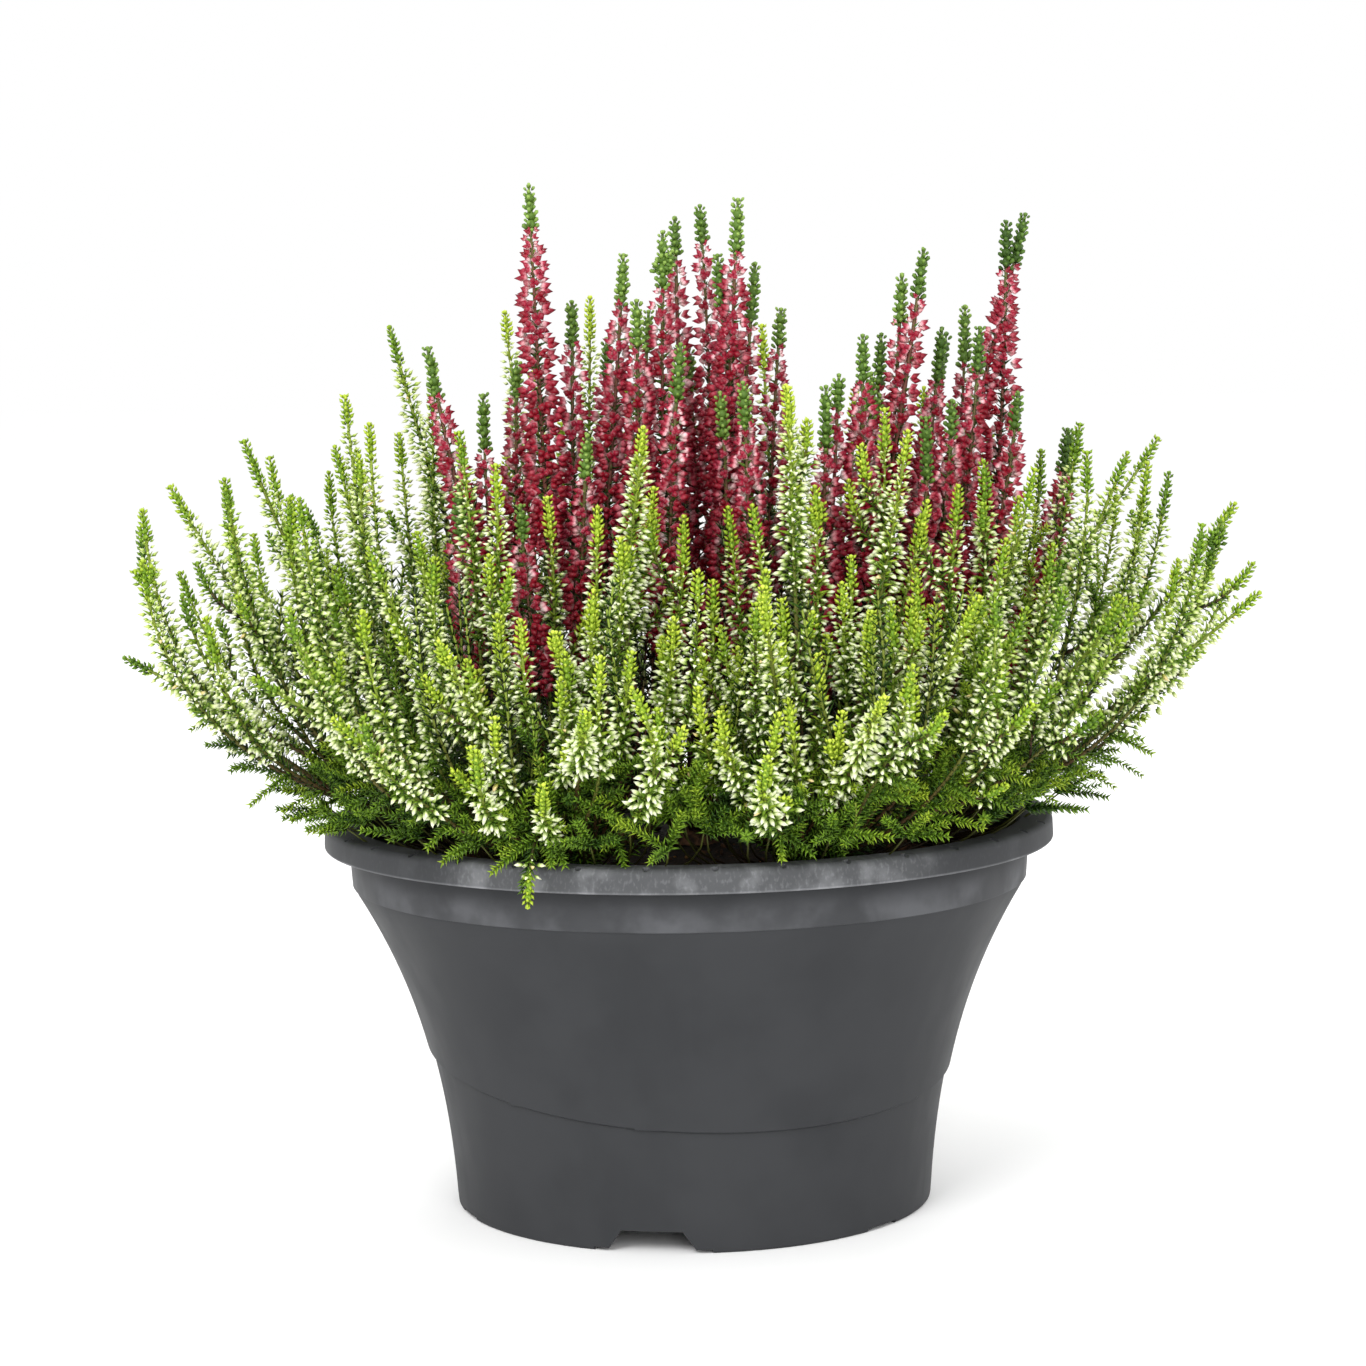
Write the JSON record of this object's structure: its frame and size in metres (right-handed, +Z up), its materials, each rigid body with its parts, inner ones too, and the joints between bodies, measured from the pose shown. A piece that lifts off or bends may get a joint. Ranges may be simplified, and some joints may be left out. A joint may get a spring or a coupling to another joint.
{
  "type": "potted heather",
  "caption": "Flared round planting bowl of bud-flowering heathers: pale-budded shoots all round, red-budded shoots in the middle, in peat.",
  "frame": {"origin": "on the bowl's axis, on the surface that its feet stand on", "axes": "+Z up along the bowl's axis, -Y the front as pictured, +X to the viewer's right and the longest extent"},
  "size_m": [0.4149, 0.3609, 0.376],
  "materials": {
    "pot_plastic": "injection-moulded anthracite polypropylene, satin, with light scuffs on the rim",
    "potting_peat": "loose moist peat, rough and dark",
    "heather_wood": "thin brown-red bark of woody heather stems",
    "heather_leaves": "small soft green needle leaves",
    "white_flower_spikes": "closed white buds with pale green bases and yellow-green leafy tips",
    "red_flower_spikes": "closed crimson to pink buds on brown-red stems with dark green leafy tips"
  },
  "bodies": {
    "root": {"pot": "pot_plastic", "red_left_crown": "heather_wood", "red_left_shoot_1": "red_flower_spikes", "red_left_shoot_2": "red_flower_spikes", "red_left_shoot_3": "red_flower_spikes", "red_middle_crown": "heather_wood", "red_middle_shoot_1": "red_flower_spikes", "red_middle_shoot_2": "red_flower_spikes", "red_middle_shoot_3": "red_flower_spikes", "red_right_crown": "heather_wood", "red_right_shoot_1": "red_flower_spikes", "red_right_shoot_2": "red_flower_spikes", "red_right_shoot_3": "red_flower_spikes", "red_right_shoot_4": "red_flower_spikes", "soil": "potting_peat", "white_back_left_crown": "heather_wood", "white_back_left_shoot_1": "white_flower_spikes", "white_back_left_shoot_2": "white_flower_spikes", "white_back_left_shoot_3": "white_flower_spikes", "white_back_left_shoot_4": "white_flower_spikes", "white_back_left_shoot_5": "white_flower_spikes", "white_back_left_skirt": "heather_leaves", "white_back_right_crown": "heather_wood", "white_back_right_shoot_1": "white_flower_spikes", "white_back_right_shoot_2": "white_flower_spikes", "white_back_right_shoot_3": "white_flower_spikes", "white_back_right_shoot_4": "white_flower_spikes", "white_back_right_shoot_5": "white_flower_spikes", "white_back_right_skirt": "heather_leaves", "white_front_left_crown": "heather_wood", "white_front_left_shoot_1": "white_flower_spikes", "white_front_left_shoot_2": "white_flower_spikes", "white_front_left_shoot_3": "white_flower_spikes", "white_front_left_shoot_4": "white_flower_spikes", "white_front_left_shoot_5": "white_flower_spikes", "white_front_left_skirt": "heather_leaves", "white_front_right_crown": "heather_wood", "white_front_right_shoot_1": "white_flower_spikes", "white_front_right_shoot_2": "white_flower_spikes", "white_front_right_shoot_3": "white_flower_spikes", "white_front_right_shoot_4": "white_flower_spikes", "white_front_right_shoot_5": "white_flower_spikes", "white_front_right_skirt": "heather_leaves", "white_left_crown": "heather_wood", "white_left_shoot_1": "white_flower_spikes", "white_left_shoot_2": "white_flower_spikes", "white_left_shoot_3": "white_flower_spikes", "white_left_shoot_4": "white_flower_spikes", "white_left_shoot_5": "white_flower_spikes", "white_left_skirt": "heather_leaves", "white_right_crown": "heather_wood", "white_right_shoot_1": "white_flower_spikes", "white_right_shoot_2": "white_flower_spikes", "white_right_shoot_3": "white_flower_spikes", "white_right_shoot_4": "white_flower_spikes", "white_right_shoot_5": "white_flower_spikes", "white_right_skirt": "heather_leaves"}
  },
  "joints": []
}
